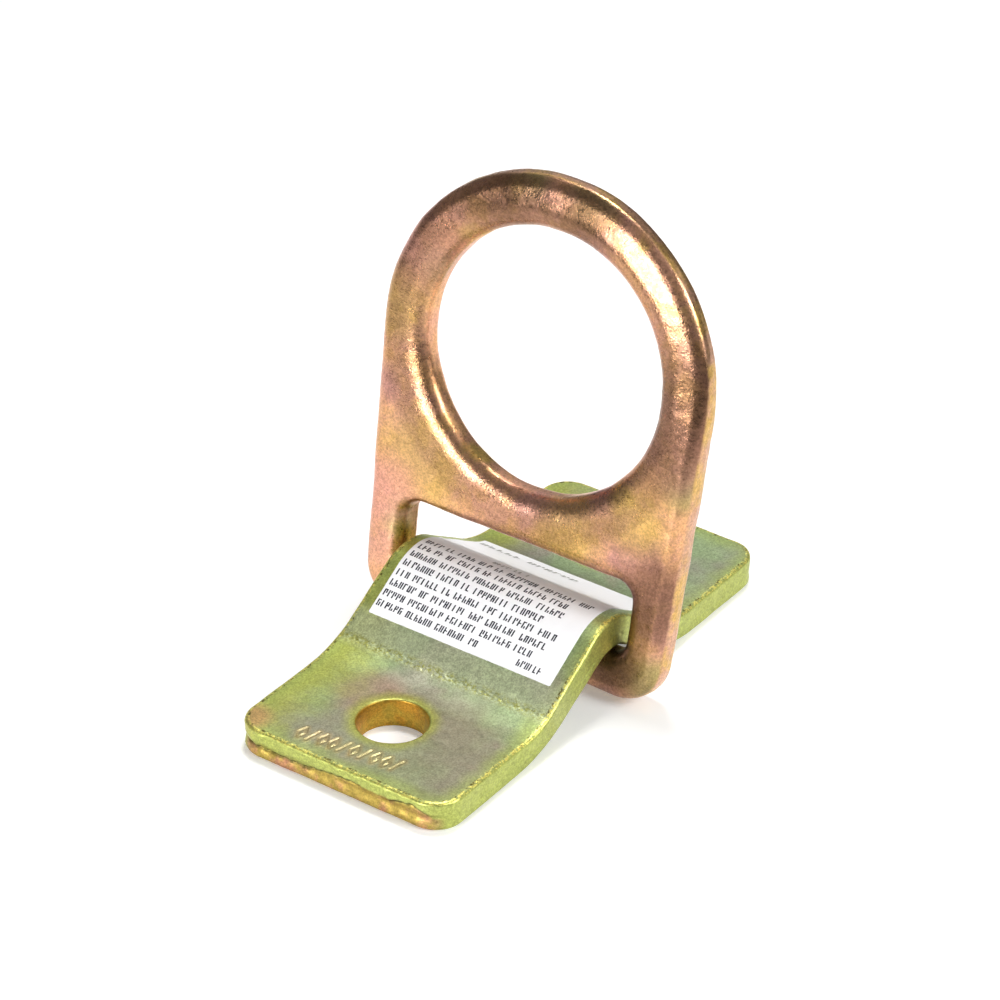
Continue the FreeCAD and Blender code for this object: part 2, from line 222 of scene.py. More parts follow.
def grid(x_steps, y_steps):
    across, along = np.meshgrid(x_steps, y_steps)
    return np.column_stack([across.ravel(), along.ravel()])


def inside(points, outer, holes, margin):
    keep = beyond(points, outer) < -margin
    for hole in holes:
        keep &= beyond(points, hole) > margin
    return points[keep]


def rounding(inset, depth, height, steps, last=90.0):
    """Quarter ellipse from the face, inset and height up, to the wall, depth lower."""
    angles = np.radians(np.linspace(0, last, steps + 1))
    return [(inset * (1 - math.sin(a)), height - depth * (1 - math.cos(a))) for a in angles]


def mirrored(profile):
    return [(inset, -height) for inset, height in reversed(profile)]


def moved_loop(loop, inset, hole=False):
    rim, normals = loop
    return rim + (inset if hole else -inset) * normals, normals


def build(name, points, faces, material, body, node=None, attributes=None):
    """Makes the object, in metres, and ties it to its CAD body."""
    mesh = bpy.data.meshes.new(name)
    mesh.from_pydata((points * MM).tolist(), [], faces)
    for label, values in (attributes or {}).items():
        kind = "FLOAT_VECTOR" if values.ndim == 2 else "FLOAT"
        layer = mesh.attributes.new(label, kind, "POINT")
        layer.data.foreach_set("vector" if values.ndim == 2 else "value", values.astype(np.float32).ravel())
    mesh.shade_smooth()
    mesh.materials.append(material)
    piece = bpy.data.objects.new(name, mesh)
    bpy.context.scene.collection.objects.link(piece)
    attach(piece, body)
    if node:
        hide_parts(node)
    return piece


def normals_of(points, faces):
    mesh = bpy.data.meshes.new("scratch")
    mesh.from_pydata(points.tolist(), [], faces)
    found = np.zeros(len(points) * 3, np.float32)
    mesh.vertex_normals.foreach_get("vector", found)
    bpy.data.meshes.remove(mesh)
    return found.reshape(-1, 3).astype(float)


# ---------------------------------------------------------------- plate
def bend(along, across, height, level=0.0):
    """Places flat-bar points on the bent plate. along is measured at a level above the middle."""
    crest, foot = CREST_BEND + level, FOOT_BEND - level
    rise = CREST_HEIGHT + HALF_THICK
    turn_drop = (CREST_BEND + FOOT_BEND) * (1 - math.cos(SLOPE))
    flank = (rise - HALF_THICK - turn_drop) / math.sin(SLOPE)
    crest_end = crest * SLOPE
    flank_end = crest_end + flank
    foot_start = flank_end + foot * SLOPE
    foot_y = (CREST_BEND + FOOT_BEND) * math.sin(SLOPE) + flank * math.cos(SLOPE)
    crest_z, foot_z = rise - CREST_BEND, FOOT_BEND + HALF_THICK
    far = np.abs(along)
    height = height + level
    on_crest = far / crest
    beyond_crest = far - crest_end
    on_foot = np.maximum(SLOPE - (far - flank_end) / foot, 0)
    up_crest, up_foot = CREST_BEND + height, FOOT_BEND - height
    zones = [far < crest_end, far < flank_end, far < foot_start]
    y = np.select(
        zones,
        [
            up_crest * np.sin(on_crest),
            up_crest * math.sin(SLOPE) + beyond_crest * math.cos(SLOPE),
            foot_y - up_foot * np.sin(on_foot),
        ],
        foot_y + far - foot_start,
    )
    z = np.select(
        zones,
        [
            crest_z + up_crest * np.cos(on_crest),
            crest_z + up_crest * math.cos(SLOPE) - beyond_crest * math.sin(SLOPE),
            foot_z - up_foot * np.cos(on_foot),
        ],
        HALF_THICK + height,
    )
    return np.column_stack([across, np.where(along < 0, -y, y), z])


FOOT_Y = (CREST_BEND + FOOT_BEND) * math.sin(SLOPE) + (
    (CREST_HEIGHT - (CREST_BEND + FOOT_BEND) * (1 - math.cos(SLOPE))) / math.tan(SLOPE))
FOOT_ALONG = (CREST_BEND + FOOT_BEND) * SLOPE + (
    (CREST_HEIGHT - (CREST_BEND + FOOT_BEND) * (1 - math.cos(SLOPE))) / math.sin(SLOPE))
HALF_LENGTH = FOOT_ALONG + plate_high[1] - FOOT_Y
HOLE_ALONG = FOOT_ALONG + BOLT_SPACING / 2 - FOOT_Y
FOOT_BEND_MIDDLE = FOOT_ALONG - FOOT_BEND * SLOPE / 2

# where the shear's fracture line runs across the front end: across, share of the thickness down
FRACTURES = [
    [(-25.4, 0.58), (-18.0, 0.60), (-8.0, 0.60), (-3.0, 0.45), (3.0, 0.36), (7.0, 0.45)],
    [(11.5, 0.52), (14.0, 0.36), (18.0, 0.24), (20.5, 0.36), (22.5, 0.55)],
]
WAIST = (0.40, 0.95, -0.5)          # depth, width and height of the sheared ends' waist
DENT_BAND = -23.3                   # where the press tool marked the front foot's bend
STAMP_START, STAMP_END = (-13.0, -54.6), (10.6, -52.4)
STAMP_COUNT = 10
STAMP_HEIGHT = 3.4
STAMP_STROKE = 0.24
STAMP_DEPTH = 0.10
STAMP_LIP = 0.03                    # metal pushed up beside each stroke
STAMP_FIELD = ((-14.5, 12.2), (-57.2, -49.9))
ROLLED = [(9.0, 0.035, 11), (2.6, 0.012, 12)]
DENT_DEPTH = 0.10
FOOT_BULGE, CREST_BULGE = 0.30, 0.45  # how far a bend's squeezed inside stands out sideways


def to_segments(points, segments):
    """Distance from each point to the nearest of the line segments."""
    nearest = np.full(len(points), 1e9)
    for first, last in segments:
        first, along = np.array(first), np.array(last) - np.array(first)
        share = np.clip((points - first) @ along / (along @ along), 0, 1)
        nearest = np.minimum(nearest, np.linalg.norm(points - first - share[:, None] * along, axis=1))
    return nearest


def stamp_marks():
    """A row of plain punched marks: slashes and diamonds."""
    start, end = np.array(STAMP_START), np.array(STAMP_END)
    along = (end - start) / np.linalg.norm(end - start)
    up = np.array([-along[1], along[0]])
    pitch = np.linalg.norm(end - start) / STAMP_COUNT
    half_x, half_y = pitch * 0.34, STAMP_HEIGHT / 2
    slash = [((-0.7, -1), (0.7, 1))]
    diamond = [((-1, 0), (0, 1)), ((0, 1), (1, 0)), ((1, 0), (0, -1)), ((0, -1), (-1, 0))]
    kinds = [diamond, slash, diamond, diamond, slash]
    segments = []
    for place in range(STAMP_COUNT):
        middle = start + along * pitch * (place + 0.5)
        for first, last in kinds[place % len(kinds)]:
            segments.append([
                middle + along * corner[0] * half_x + up * corner[1] * half_y
                for corner in (first, last)
            ])
    return segments


def fracture_height(across, path):
    heights = np.interp(across, [p[0] for p in path], [p[1] for p in path])
    return HALF_THICK - heights * PLATE_THICK + 0.12 * waves(across[:, None], 1.6, 5)


def fracture_share(across, path):
    """1 along a fracture line, fading out at its two ends."""
    first, last = path[0][0], path[-1][0]
    return ramp(across, first - 1, first + 1.5) * (1 - ramp(across, last - 2.5, last))


def plate_material_zones(slab, outer):
    """Attributes that the plating's colours follow."""
    across, along, height = slab.T
    holes = np.minimum(
        np.hypot(across, along - HOLE_ALONG), np.hypot(across, along + HOLE_ALONG)) - HOLE_RADIUS
    # painted shade: a mask of the shear's fracture line, which the plating's colour darkens
    crack_shade = sum(fracture_share(across, path) * bell(height - fracture_height(across, path), 0.24)
                 for path in FRACTURES)
    path = FRACTURES[0][:-1] + FRACTURES[1][1:]
    below = ramp(fracture_height(across, path) - height, -0.15, 0.5)
    below *= ramp(-along, HALF_LENGTH - 3.0, HALF_LENGTH)
    return {
        "slab": slab,
        "edge": -beyond(slab[:, :2], outer),
        "hole": holes,
        "below": below,
        "crack": crack_shade * ramp(-along, HALF_LENGTH - 1.6, HALF_LENGTH - 0.4),
    }


def plate_shape():
    step = 0.42
    outer = rectangle(-PLATE_HALF_WIDTH, PLATE_HALF_WIDTH, -HALF_LENGTH, HALF_LENGTH, CORNER_RADIUS, step)
    surface = Surface()
    top = rounding(*PLATE_ROUND, HALF_THICK, 6)
    sides = [(0.0, h) for h in np.linspace(top[-1][1], -top[-1][1], 25)[1:-1]]
    profile = [(1.5, HALF_THICK)] + top + sides + mirrored(top) + [(1.5, -HALF_THICK)]
    rows = surface.wall(outer, profile)
    hole_profile = rounding(*HOLE_ROUND, HALF_THICK, 5)
    wall_heights = np.linspace(HALF_THICK - HOLE_ROUND[1], HOLE_BURR_ROUND - HALF_THICK, 9)
    hole_profile += [(0.0, h) for h in wall_heights[1:-1]]
    hole_profile += mirrored(rounding(HOLE_BURR_ROUND, HOLE_BURR_ROUND, HALF_THICK, 3))
    hole_profile = [(1.1, HALF_THICK)] + hole_profile + [(0.9, -HALF_THICK)]
    holes = [circle((0, side * HOLE_ALONG), HOLE_RADIUS, 0.4) for side in (-1, 1)]
    hole_rows = [surface.wall(hole, hole_profile, hole=True) for hole in holes]

    inner_outer = moved_loop(outer, 1.5)
    inner_holes = [moved_loop(hole, 1.1, hole=True) for hole in holes]
    coarse = grid(np.arange(-25, 25, 0.8), np.arange(-60, 60, 0.62))
    dents = grid(np.arange(-25, 25, 0.36), np.arange(DENT_BAND - 2.6, DENT_BAND + 2.6, 0.33))
    marks = grid(*(np.arange(*span, 0.2) for span in STAMP_FIELD))
    in_dents = np.abs(coarse[:, 1] - DENT_BAND) < 2.8
    in_marks = (np.abs(coarse[:, 0] + 1.15) < 13.7) & (np.abs(coarse[:, 1] + 53.55) < 4.0)
    fine = np.vstack([coarse[~in_dents & ~in_marks], dents, marks])
    nudge = 0.02 * np.random.default_rng(3).normal(size=fine.shape)
    surface.cap([rows[0], *[r[0] for r in hole_rows]],
                inside(fine + nudge, inner_outer, inner_holes, 0.3), HALF_THICK)
    plain = coarse + 0.02 * np.random.default_rng(4).normal(size=coarse.shape)
    surface.cap([rows[-1], *[r[-1] for r in hole_rows]],
                inside(plain, inner_outer, inner_holes, 0.3), -HALF_THICK, down=True)
    return surface, outer


def plate_relief(slab):
    """How far each point of the plate's skin stands proud of the plain shape."""
    across, along, height = slab.T
    on_top = ramp(height, HALF_THICK - 0.4, HALF_THICK - 0.05)
    relief = unevenness(slab, ROLLED)
    dents = bell(along - DENT_BAND - 0.25 * np.sin(across / 3.1), 0.9)
    relief -= DENT_DEPTH * dents * on_top * ramp(waves(slab[:, :2], 0.55, 13), -0.4, 0.9)
    stroke = to_segments(slab[:, :2], stamp_marks())
    relief -= STAMP_DEPTH * (1 - ramp(stroke, STAMP_STROKE * 0.45, STAMP_STROKE * 1.5)) * on_top
    relief += STAMP_LIP * bell(stroke - STAMP_STROKE * 2.1, STAMP_STROKE) * on_top
    rim = -beyond(slab[:, :2], plate_outline)
    relief -= 0.05 * bell(rim - 0.9, 0.5) * on_top * ramp(waves(slab[:, :2], 1.1, 21), -0.2, 1.0)
    at_end = ramp(np.abs(along), HALF_LENGTH - CORNER_RADIUS * 0.8, HALF_LENGTH - 1.0)
    on_side = ramp(HALF_THICK - 0.4 - np.abs(height), 0.0, 0.3) * (rim < 0.6)
    depth, width, level = WAIST
    relief -= depth * bell(height - level, width) * at_end * (rim < 0.9)
    relief += 0.07 * waves(slab, 1.9, 14) * at_end * on_side
    for path in FRACTURES:
        line = fracture_height(across, path)
        step = 0.16 * ramp(line - height, 0.0, 0.25) * bell(height - line, 1.6)
        crack = 0.42 * bell(height - line + 0.05, 0.20) + step
        relief -= crack * fracture_share(across, path) * (along < 0) * at_end * on_side
    scratch = bell(height + 0.8 + 0.3 * waves(along[:, None], 9, 15), 0.25)
    scratch *= ramp(waves(along[:, None], 12, 16), -0.3, 0.6)
    relief -= 0.10 * scratch * (1 - at_end) * on_side
    return relief


def bulged(slab):
    """The squeezed inside of each bend stands out at the plate's long edges."""
    across, along, height = slab.T.copy()
    near_edge = ramp(np.abs(across), PLATE_HALF_WIDTH - 4.0, PLATE_HALF_WIDTH)
    at_foot = bell(np.abs(along) - FOOT_BEND_MIDDLE, 6.5) * (height / HALF_THICK)
    at_crest = bell(along, 5.0) * (-height / HALF_THICK)
    across += np.sign(across) * near_edge * (FOOT_BULGE * at_foot + CREST_BULGE * at_crest)
    return across, along, height


def make_plate(material):
    surface, outer = plate_shape()
    slab = surface.points()
    across, along, height = bulged(slab)
    bent = bend(along, across, height)
    bent += normals_of(bent, surface.faces) * plate_relief(slab)[:, None]
    bent[:, 2] = np.maximum(bent[:, 2], 0.0)
    zones = plate_material_zones(slab, outer)
    zones["stamp"] = 1 - ramp(to_segments(slab[:, :2], stamp_marks()), 0.2, 1.3)
    return build("anchor_plate_skin", bent, surface.faces, material, "plate",
                 "anchor_plate", zones)


plate_outline = rectangle(
    -PLATE_HALF_WIDTH, PLATE_HALF_WIDTH, -HALF_LENGTH, HALF_LENGTH, CORNER_RADIUS, 1.0)


# ---------------------------------------------------------------- D-ring
def ring_outline(step):
    """Round top, sides that taper a little, and a straight foot with round corners."""
    corner_x = RING_FOOT_HALF_WIDTH - RING_CORNER_RADIUS
    corner_z = RING_CORNER_RADIUS - BAR_HEIGHT / 2
    span = math.hypot(corner_x, EYE_HEIGHT - corner_z)
    tangent = math.degrees(
        math.atan2(EYE_HEIGHT - corner_z, -corner_x)
        - math.acos((RING_CORNER_RADIUS - RING_TOP_RADIUS) / span))
    arcs = [
        ((corner_x, corner_z), RING_CORNER_RADIUS, 270, 360 + tangent),
        ((0, EYE_HEIGHT), RING_TOP_RADIUS, tangent, 180 - tangent),
        ((-corner_x, corner_z), RING_CORNER_RADIUS, 180 - tangent, 270),
    ]
    return outline(arcs, step)


def ring_shape():
    half = RING_THICK / 2
    surface = Surface()
    outer = ring_outline(0.5)
    eye = circle((0, EYE_HEIGHT), EYE_RADIUS, 0.45)
    low = BAR_HEIGHT / 2
    slot = rectangle(-SLOT_WIDTH / 2, SLOT_WIDTH / 2, low, low + SLOT_HEIGHT, SLOT_CORNER_RADIUS, 0.45)
    outer_top = rounding(*OUTER_ROUND, half, 10, last=82)
    eye_top = rounding(*EYE_ROUND, half, 14, last=84)
    slot_top = rounding(SLOT_ROUND, SLOT_ROUND, half, 9)

    def whole(top, middle_steps):
        wall = [(0.0, h) for h in np.linspace(top[-1][1], -top[-1][1], middle_steps)[1:-1]]
        return top + wall + mirrored(top)

    borders = [
        surface.wall(outer, whole(outer_top, 8)),
        surface.wall(eye, whole(eye_top, 6), hole=True),
        surface.wall(slot, whole(slot_top, 8), hole=True),
    ]
    loops = [
        moved_loop(outer, OUTER_ROUND[0]),
        moved_loop(eye, EYE_ROUND[0], hole=True),
        moved_loop(slot, SLOT_ROUND, hole=True),
    ]
    points = grid(np.arange(-38, 38, 0.62), np.arange(-5, 98, 0.62))
    points = points + 0.02 * np.random.default_rng(6).normal(size=points.shape)
    filling = inside(points, loops[0], loops[1:], 0.35)
    surface.cap([rows[0] for rows in borders], filling, half)
    surface.cap([rows[-1] for rows in borders], filling, -half, down=True)
    return surface, outer, eye


def make_ring(material):
    surface, outer, eye = ring_shape()
    flat = surface.points()
    across, up, out = flat.T
    local = np.column_stack([across, -out, up])
    facing = normals_of(local, surface.faces)
    relief = unevenness(flat, FORGED)
    rim = -beyond(flat[:, :2], outer)
    reach = np.hypot(across, up - EYE_HEIGHT)
    on_face = np.clip((np.abs(out) - RING_THICK / 2 + OUTER_ROUND[0]) / OUTER_ROUND[0], 0, 1)
    drop = CROWN_DROP * on_face * ramp(up, 44.0, 66.0) * ramp(across, -24.0, 6.0)
    local[:, 1] += np.sign(out) * drop * np.clip((reach - 30.5) / 7.5, 0, 1) ** 1.25
    trimmed = (1 - ramp(rim, 0.05, 0.3))
    relief += trimmed * 0.05 * waves(flat, 2.4, 34) * bell(out, 1.0)
    relief += trimmed * 0.10 * bell(out - 0.15 * np.sin(up / 9.0), 0.5)
    local += facing * relief[:, None]
    turn = Matrix.Rotation(-RING_LEAN, 3, "X")
    placed = local @ np.array(turn).T + HINGE
    zones = {
        "slab": flat,
        "edge": rim,
        "eye": beyond(flat[:, :2], eye),
    }
    return build("d_ring_skin", placed, surface.faces, material, "ring", "d_ring", zones)


# ---------------------------------------------------------------- label
ROW_FIRST, ROW_PITCH, ROW_TILT = 2.15, 2.52, -0.018
ROW_HEIGHT = 1.5
ROW_LEFT = -21.2
ROW_ENDS = [20.2, 15.8, 16.5, 14.0, 18.1, 18.1, 15.2, 3.5]
PRINT_LIFT = 0.03
CREASE_ALONG, CREASE_SKEW = 7.4, 0.06
CREASE_HEIGHT, CREASE_HOLLOW = 0.10, 0.05


def label_lift(across, along):
    """Height of the label's upper side above the plate, with a crease and lifted spots."""
    crease = along - CREASE_ALONG + CREASE_SKEW * across
    lift = LABEL_THICK + CREASE_HEIGHT * bell(crease, 0.55) - CREASE_HOLLOW * bell(crease - 1.4, 0.6)
    lift = lift + 0.03 * waves(np.column_stack([across, along]), 7.0, 41)
    return np.maximum(lift, LABEL_THICK * 0.6)


def make_label(material):
    surface = Surface()
    outer = rectangle(LABEL_LEFT, LABEL_RIGHT, LABEL_FRONT, LABEL_REAR, LABEL_CORNER, 0.5)
    rows = surface.wall(outer, [(0.35, 1.0), (0.06, 1.0), (0.0, 0.6), (0.0, 0.0)])
    points = grid(np.arange(-23, 23, 0.62), np.arange(-19, 28, 0.42))
    points = points + 0.01 * np.random.default_rng(7).normal(size=points.shape)
    surface.cap([rows[0]], inside(points, moved_loop(outer, 0.35), [], 0.2), 1.0)
    across, along, share = surface.points().T
    height = share * label_lift(across, along) - (1 - share) * 0.05
    placed = bend(along, across, height, HALF_THICK)
    return build("label_sheet", placed, surface.faces, material, "plate", "label",
                 {"slab": np.column_stack([across, along, share])})


def stroke(surface, left, right, low, high, rows=3):
    """One small printed block on the label."""
    levels = np.linspace(low, high, rows + 1)
    left_side = surface.add([(left, along, 0) for along in levels])
    right_side = surface.add([(right, along, 0) for along in levels])
    around = (left_side[:-1], right_side[:-1], right_side[1:], left_side[1:])
    surface.faces += np.column_stack(around).tolist()


def print_row(surface, random, left, right, base, height, cell):
    """A line of plain blocks, in groups, that stands for small print."""
    place = left
    while place < right - cell:
        group = min(int(random.integers(2, 9)), int((right - place) / cell))
        for _ in range(group):
            low = base + ROW_TILT * place
            ink = cell * 0.30
            stroke(surface, place, place + ink, low, low + height)
            if random.random() < 0.62:
                reach = random.choice([0.38, 0.6, 1.0]) * height
                start = low + random.choice([0.0, height - reach])
                stroke(surface, place + cell * 0.45, place + cell * 0.45 + ink, start, start + reach, 2)
            if random.random() < 0.45:
                level = low + random.choice([0.0, 0.42, 0.84]) * height
                stroke(surface, place, place + cell * 0.7, level, level + height * 0.16, 1)
            place += cell
        place += cell * 0.75


def make_print(name, rows, material):
    surface = Surface()
    random = np.random.default_rng(51)
    for left, right, base, height, cell in rows:
        print_row(surface, random, left, right, base, height, cell)
    across, along, _ = surface.points().T
    placed = bend(along, across, label_lift(across, along) + PRINT_LIFT, HALF_THICK)
    return build(name, placed, surface.faces, material, "plate")


def make_printing(dark, grey):
    small = [
        (ROW_LEFT - 0.08 * row, end, ROW_FIRST - 0.75 - ROW_PITCH * row - 0.4, ROW_HEIGHT, 1.08)
        for row, end in enumerate(ROW_ENDS)
    ]
    code = [(12.9, 19.6, -16.7, 1.5, 1.0)]
    header = [(-6.4, 3.6, 3.9, 1.3, 1.1)]
    far = [(-21.0, 5.6, 22.2, 1.9, 2.1)]
    make_print("label_small_print", small + code, dark)
    make_print("label_header_print", header + far, grey)


# ---------------------------------------------------------------- materials
def colour(red, green, blue):
    """Linear colour of a screen colour from 0 to 255."""
    shares = np.array([red, green, blue]) / 255
    linear = np.where(shares <= 0.04045, shares / 12.92, ((shares + 0.055) / 1.055) ** 2.4)
    return (*linear.tolist(), 1.0)


class Shader:
    """A short way to write a material's nodes."""

    def __init__(self, name):
        self.material = bpy.data.materials.new(name)
        self.material.use_nodes = True
        self.tree = self.material.node_tree
        self.tree.nodes.clear()

    def node(self, kind, inputs=(), **settings):
        made = self.tree.nodes.new("ShaderNode" + kind)
        for key, value in settings.items():
            setattr(made, key, value)
        for key, value in dict(inputs).items():
            self.put(made.inputs[key], value)
        return made

    def put(self, socket, value):
        if isinstance(value, bpy.types.NodeSocket):
            self.tree.links.new(value, socket)
        else:
            socket.default_value = value

    def attribute(self, name):
        return self.node("Attribute", attribute_name=name)

    def noise(self, where, size, detail=2.0, rough=0.5, seed=0.0):
        inputs = {"Vector": where, "W": seed, "Scale": 1 / size, "Detail": detail, "Roughness": rough}
        return self.node("TexNoise", inputs, noise_dimensions="4D").outputs["Fac"]

    def math(self, operation, first, second=0.0):
        return self.node("Math", {0: first, 1: second}, operation=operation).outputs[0]

    def mask(self, value, low, high, start=0.0, end=1.0):
        inputs = {"Value": value, "From Min": low, "From Max": high, "To Min": start, "To Max": end}
        return self.node("MapRange", inputs, interpolation_type="SMOOTHSTEP").outputs["Result"]

    def mix(self, share, first, second, blend="MIX"):
        made = self.node("Mix", data_type="RGBA", blend_type=blend)
        self.put(made.inputs[0], share)
        self.put(made.inputs[6], first)
        self.put(made.inputs[7], second)
        return made.outputs[2]

    def patch(self, where, middle, radius, wobble, soft=0.5):
        """1 in the middle of a round patch with a ragged rim, 0 outside it."""
        away = self.node("VectorMath", {0: where, 1: middle}, operation="DISTANCE").outputs["Value"]
        ragged = self.math("ADD", away, self.math("MULTIPLY", wobble, radius))
        return self.mask(ragged, radius * (1.5 - soft), radius * (1.5 + soft), 1.0, 0.0)

    def finish(self, inputs, bumps=()):
        """Closes the material; bumps are (height, distance in mm), the broadest first."""
        normal = None
        for height, distance in bumps:
            bump = self.node("Bump", {"Height": height, "Distance": distance * MM})
            if normal:
                self.put(bump.inputs["Normal"], normal)
            normal = bump.outputs["Normal"]
        shader = self.node("BsdfPrincipled", inputs)
        if normal:
            self.put(shader.inputs["Normal"], normal)
        output = self.node("OutputMaterial")
        self.tree.links.new(shader.outputs["BSDF"], output.inputs["Surface"])
        return self.material


def speckled(shader, where, base, size, amount, seed):
    """Fine lighter and darker grain over a colour."""
    grain = shader.noise(where, size, 2.0, 0.6, seed)
    bright = shader.mask(grain, 0.3, 0.7, 1 - amount, 1 + amount)
    grey = shader.node("CombineColor", {"Red": bright, "Green": bright, "Blue": bright}).outputs["Color"]
    return shader.mix(1.0, base, grey, "MULTIPLY")


def plate_plating():
    shader = Shader("plate_plating")
    where = shader.attribute("slab").outputs["Vector"]
    edge = shader.attribute("edge").outputs["Fac"]
    hole = shader.attribute("hole").outputs["Fac"]
    below = shader.attribute("below").outputs["Fac"]
    stamp = shader.attribute("stamp").outputs["Fac"]
    crack = shader.attribute("crack").outputs["Fac"]
    across, along, height = shader.node("SeparateXYZ", {0: where}).outputs
    broad = shader.noise(where, 16.0, 2.0, 0.5, 1.0)
    cloudy = shader.noise(where, 7.0, 4.0, 0.6, 2.0)
    wobble = shader.math("SUBTRACT", cloudy, 0.5)

    base = colour(158, 176, 132)
    tone = shader.mix(shader.mask(broad, 0.42, 0.62, 0.0, 0.85), base, colour(160, 156, 140))
    tone = shader.mix(shader.mask(cloudy, 0.55, 0.75, 0.0, 0.45), tone, colour(172, 150, 138))
    middle = shader.patch(where, (7.0, -48.0, HALF_THICK), 13.0, wobble)
    tone = shader.mix(shader.math("MULTIPLY", middle, 0.5), tone, colour(162, 156, 130))
    pink = shader.patch(where, (-9.0, -36.0, HALF_THICK), 4.6, wobble, 0.7)
    tone = shader.mix(shader.math("MULTIPLY", pink, 0.45), tone, colour(188, 146, 128))
    ragged = shader.math("ADD", across, shader.math("MULTIPLY", wobble, 14.0))
    left = shader.mask(ragged, -25.0, -9.0, 1.0, 0.0)
    tone = shader.mix(shader.math("MULTIPLY", left, 0.9), tone, colour(178, 182, 78))
    rim = shader.mask(shader.math("ADD", edge, shader.math("MULTIPLY", wobble, 7.0)), 0.0, 5.5, 1.0, 0.0)
    tone = shader.mix(shader.math("MULTIPLY", rim, 0.75), tone, colour(172, 186, 104))
    # painted light: a paler band on the front slope just below the label
    painted_light_slope = shader.mask(shader.math("ABSOLUTE", shader.math("ADD", along, 20.0)), 2.0, 6.5, 0.6, 0.0)
    tone = shader.mix(painted_light_slope, tone, colour(206, 212, 172))
    halo = shader.mask(shader.math("ADD", hole, shader.math("MULTIPLY", wobble, 4.0)), 0.2, 3.6, 1.0, 0.0)
    tone = shader.mix(shader.math("MULTIPLY", halo, 0.8), tone, colour(180, 184, 84))
    corner = shader.patch(where, (-23.6, -56.2, HALF_THICK), 2.8, wobble, 0.7)
    tone = shader.mix(shader.math("MULTIPLY", corner, 0.7), tone, colour(206, 154, 108))
    from_band = shader.math("ABSOLUTE", shader.math("SUBTRACT", along, DENT_BAND))
    band = shader.mask(from_band, 0.4, 2.2, 0.8, 0.0)
    flecks = shader.mask(shader.noise(where, 0.7, 3.0, 0.7, 8.0), 0.45, 0.6)
    tone = shader.mix(shader.math("MULTIPLY", band, flecks), tone, colour(160, 160, 70))
    side = shader.mask(edge, 0.75, 0.2)
    tone = shader.mix(shader.math("MULTIPLY", side, 0.75), tone, colour(176, 182, 92))
    wall = shader.mask(hole, 0.35, 0.0)
    wall_tone = shader.mix(shader.mask(cloudy, 0.4, 0.6), colour(190, 144, 52), colour(170, 150, 60))
    tone = shader.mix(wall, tone, wall_tone)
    gold = shader.mix(shader.mask(cloudy, 0.44, 0.58), colour(176, 152, 74), colour(184, 134, 98))
    tone = shader.mix(below, tone, gold)
    tone = shader.mix(shader.math("MULTIPLY", stamp, 0.35), tone, colour(204, 172, 96))
    on_top = shader.mask(height, HALF_THICK - 1.0, HALF_THICK - 0.5)
    # painted highlight: a bright, speckled yellow line along the plate's rounded top edges
    line = shader.math("MULTIPLY", shader.mask(edge, 0.02, 0.25), shader.mask(edge, 1.15, 0.75))
    line = shader.math("MULTIPLY", line, on_top)
    painted_glints = shader.mask(shader.noise(where, 0.55, 3.0, 0.7, 11.0), 0.44, 0.56)
    dashes = shader.mask(shader.noise(where, 0.9, 3.0, 0.7, 12.0), 0.53, 0.60)
    tone = shader.mix(shader.math("MULTIPLY", line, painted_glints), tone, colour(236, 226, 120))
    dark_line = shader.math("MULTIPLY", shader.mask(edge, 0.5, 0.7), shader.mask(edge, 1.25, 1.0))
    dark_line = shader.math("MULTIPLY", shader.math("MULTIPLY", dark_line, on_top), dashes)
    tone = shader.mix(dark_line, tone, colour(104, 98, 50))
    # painted shade: the fracture line across the sheared front end is darkened
    tone = shader.mix(crack, tone, colour(48, 36, 20))
    tone = speckled(shader, where, tone, 0.35, 0.24, 4.0)
    tone = speckled(shader, where, tone, 1.4, 0.06, 5.0)
    rough = shader.mask(shader.noise(where, 1.1, 3.0, 0.6, 6.0), 0.3, 0.7, 0.36, 0.50)
    uneven = shader.noise(where, 1.3, 2.0, 0.5, 9.0)
    grain = shader.noise(where, 0.32, 2.0, 0.6, 10.0)
    bumps = [(uneven, 0.03), (grain, 0.016)]
    return shader.finish({"Base Color": tone, "Metallic": 0.85, "Roughness": rough}, bumps)


# on the ring's front face: across, up from the middle of the bar, radius
YELLOW_PATCHES = [
    (-33.2, 66.0, 4.0), (-33.4, 58.0, 3.0), (-25.0, 30.0, 6.5),
    (12.0, 27.0, 5.0), (27.0, 34.0, 4.5), (23.0, 38.0, 2.0),
]
GREEN_PATCHES = [
    (-25.7, 71.6, 2.6), (-7.7, 95.0, 3.0), (7.4, 96.0, 3.4),
    (37.5, 46.0, 4.0), (-27.5, 16.0, 3.0), (35.0, 1.0, 4.0),
]
PINK_PATCHES = [(-30.5, 76.7, 7.0), (-32.0, 21.0, 5.0), (34.0, 51.0, 5.0), (32.0, 20.0, 4.0)]
# these stand for darker reflections in the photograph, not for stains
DARK_PATCHES = [(27.0, 3.0, 5.0), (33.0, 58.0, 9.0), (33.5, 19.0, 6.0), (-11.0, 90.0, 6.0), (6.0, 91.5, 5.0)]
# the blasted crown round the eye, whose brown tone is partly the blasted finish and partly painted shade for
# its darker reflections: how far it reaches, how softly it ends, how strongly it shows
CROWN_REACH, CROWN_FADE, CROWN_SHARE = 8.02, 3.0, 0.45


def patches(shader, tone, where, wobble, places, soft, share, paint):
    """Lays ragged patches of one colour over the ring's front face."""
    for across, up, radius in places:
        spot = shader.patch(where, (across, up, RING_THICK / 2), radius, wobble, soft)
        tone = shader.mix(shader.math("MULTIPLY", spot, share), tone, paint)
    return tone


